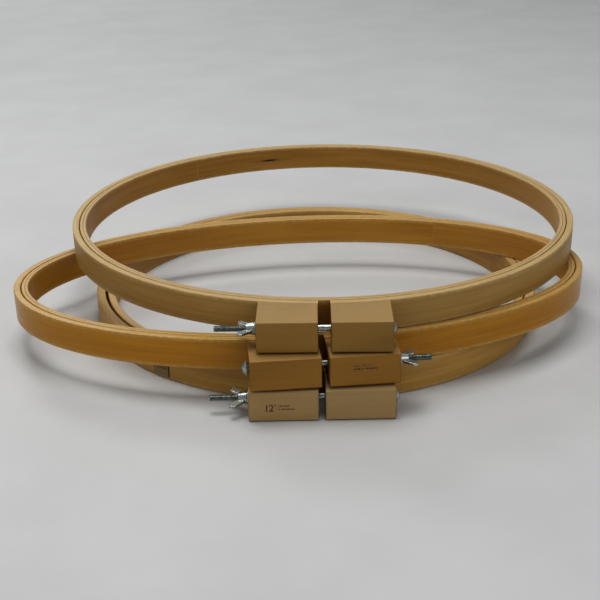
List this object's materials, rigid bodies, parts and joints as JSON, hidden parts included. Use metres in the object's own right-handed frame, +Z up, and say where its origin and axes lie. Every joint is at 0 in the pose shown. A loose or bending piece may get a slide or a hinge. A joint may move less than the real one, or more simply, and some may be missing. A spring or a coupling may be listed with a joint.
{
  "type": "embroidery hoop set",
  "caption": "Stack of wooden embroidery hoops, round and oval; each has an inner ring inside a split outer ring, drawn tight by blocks, a bolt and a wing nut.",
  "frame": {"origin": "below the middle of the stack, on the plane that it stands on", "axes": "+Z up; -Y towards the clamp blocks; +X to the right when the clamps face the viewer"},
  "size_m": [0.396, 0.41, 0.0608],
  "materials": {
    "pale_bentwood": "matte, lightly sealed bent hardwood",
    "honey_bentwood": "glossy honey varnish on bent hardwood",
    "block_wood": "sanded hardwood block",
    "zinc_steel": "worn bright zinc plating",
    "label_paper": "aged printed paper"
  },
  "bodies": {
    "bottom_outer": {"bottom_outer_ring": "pale_bentwood", "bottom_left_block": "block_wood", "bottom_washer": "zinc_steel", "paper_label": "label_paper"},
    "bottom_clamp": {"bottom_right_block": "block_wood", "bottom_carriage_bolt": "zinc_steel"},
    "bottom_nut": {"bottom_wing_nut": "zinc_steel"},
    "bottom_inner": {"bottom_inner_ring": "pale_bentwood"},
    "middle_outer": {"middle_outer_ring": "honey_bentwood", "middle_right_block": "block_wood", "middle_washer": "zinc_steel"},
    "middle_clamp": {"middle_left_block": "block_wood", "middle_carriage_bolt": "zinc_steel"},
    "middle_nut": {"middle_wing_nut": "zinc_steel"},
    "middle_inner": {"middle_inner_ring": "honey_bentwood"},
    "top_outer": {"top_outer_ring": "pale_bentwood", "top_left_block": "block_wood", "top_washer": "zinc_steel"},
    "top_clamp": {"top_right_block": "block_wood", "top_carriage_bolt": "zinc_steel"},
    "top_nut": {"top_wing_nut": "zinc_steel"},
    "top_inner": {"top_inner_ring": "pale_bentwood"}
  },
  "joints": [
    {"name": "bottom_inner_ring_lift", "type": "slide", "parent": "bottom_outer", "child": "bottom_inner", "axis": [0, 0, 1], "range_m": [0, 0.04]},
    {"name": "bottom_nut_spin", "type": "hinge", "parent": "bottom_outer", "child": "bottom_nut", "pos_m": [-0.0343, -0.19056, 0.00995], "axis": [-0.9994, -0.0349, 0], "range_deg": [0, 2881]},
    {"name": "bottom_clamp_open", "type": "slide", "parent": "bottom_outer", "child": "bottom_clamp", "axis": [0.9994, 0.0349, 0], "range_m": [0, 0.0056], "deforming": ["bottom_outer_ring"]},
    {"name": "middle_hoop_lift", "type": "slide", "parent": "bottom_inner", "child": "middle_outer", "axis": [0, 0, 1], "range_m": [0, 0.06]},
    {"name": "middle_inner_ring_lift", "type": "slide", "parent": "middle_outer", "child": "middle_inner", "axis": [0, 0, 1], "range_m": [0, 0.04]},
    {"name": "middle_nut_spin", "type": "hinge", "parent": "middle_outer", "child": "middle_nut", "pos_m": [0.06273, -0.18062, 0.03075], "axis": [0.9925, 0.1219, 0], "range_deg": [0, 2881]},
    {"name": "middle_clamp_open", "type": "slide", "parent": "middle_outer", "child": "middle_clamp", "axis": [-0.9925, -0.1219, 0], "range_m": [0, 0.0056], "deforming": ["middle_outer_ring"]},
    {"name": "top_hoop_lift", "type": "slide", "parent": "middle_inner", "child": "top_outer", "axis": [0, 0, 1], "range_m": [0, 0.06]},
    {"name": "top_inner_ring_lift", "type": "slide", "parent": "top_outer", "child": "top_inner", "axis": [0, 0, 1], "range_m": [0, 0.04]},
    {"name": "top_nut_spin", "type": "hinge", "parent": "top_outer", "child": "top_nut", "pos_m": [-0.02885, -0.18157, 0.05115], "axis": [-0.9999, -0.0157, 0], "range_deg": [0, 2881]},
    {"name": "top_clamp_open", "type": "slide", "parent": "top_outer", "child": "top_clamp", "axis": [0.9999, 0.0157, 0], "range_m": [0, 0.0056], "deforming": ["top_outer_ring"]}
  ],
  "couplings": [
    {"joint": "bottom_nut_spin", "follows": "bottom_clamp_open", "rad_per_m": 8976},
    {"joint": "middle_nut_spin", "follows": "middle_clamp_open", "rad_per_m": 8976},
    {"joint": "top_nut_spin", "follows": "top_clamp_open", "rad_per_m": 8976}
  ]
}
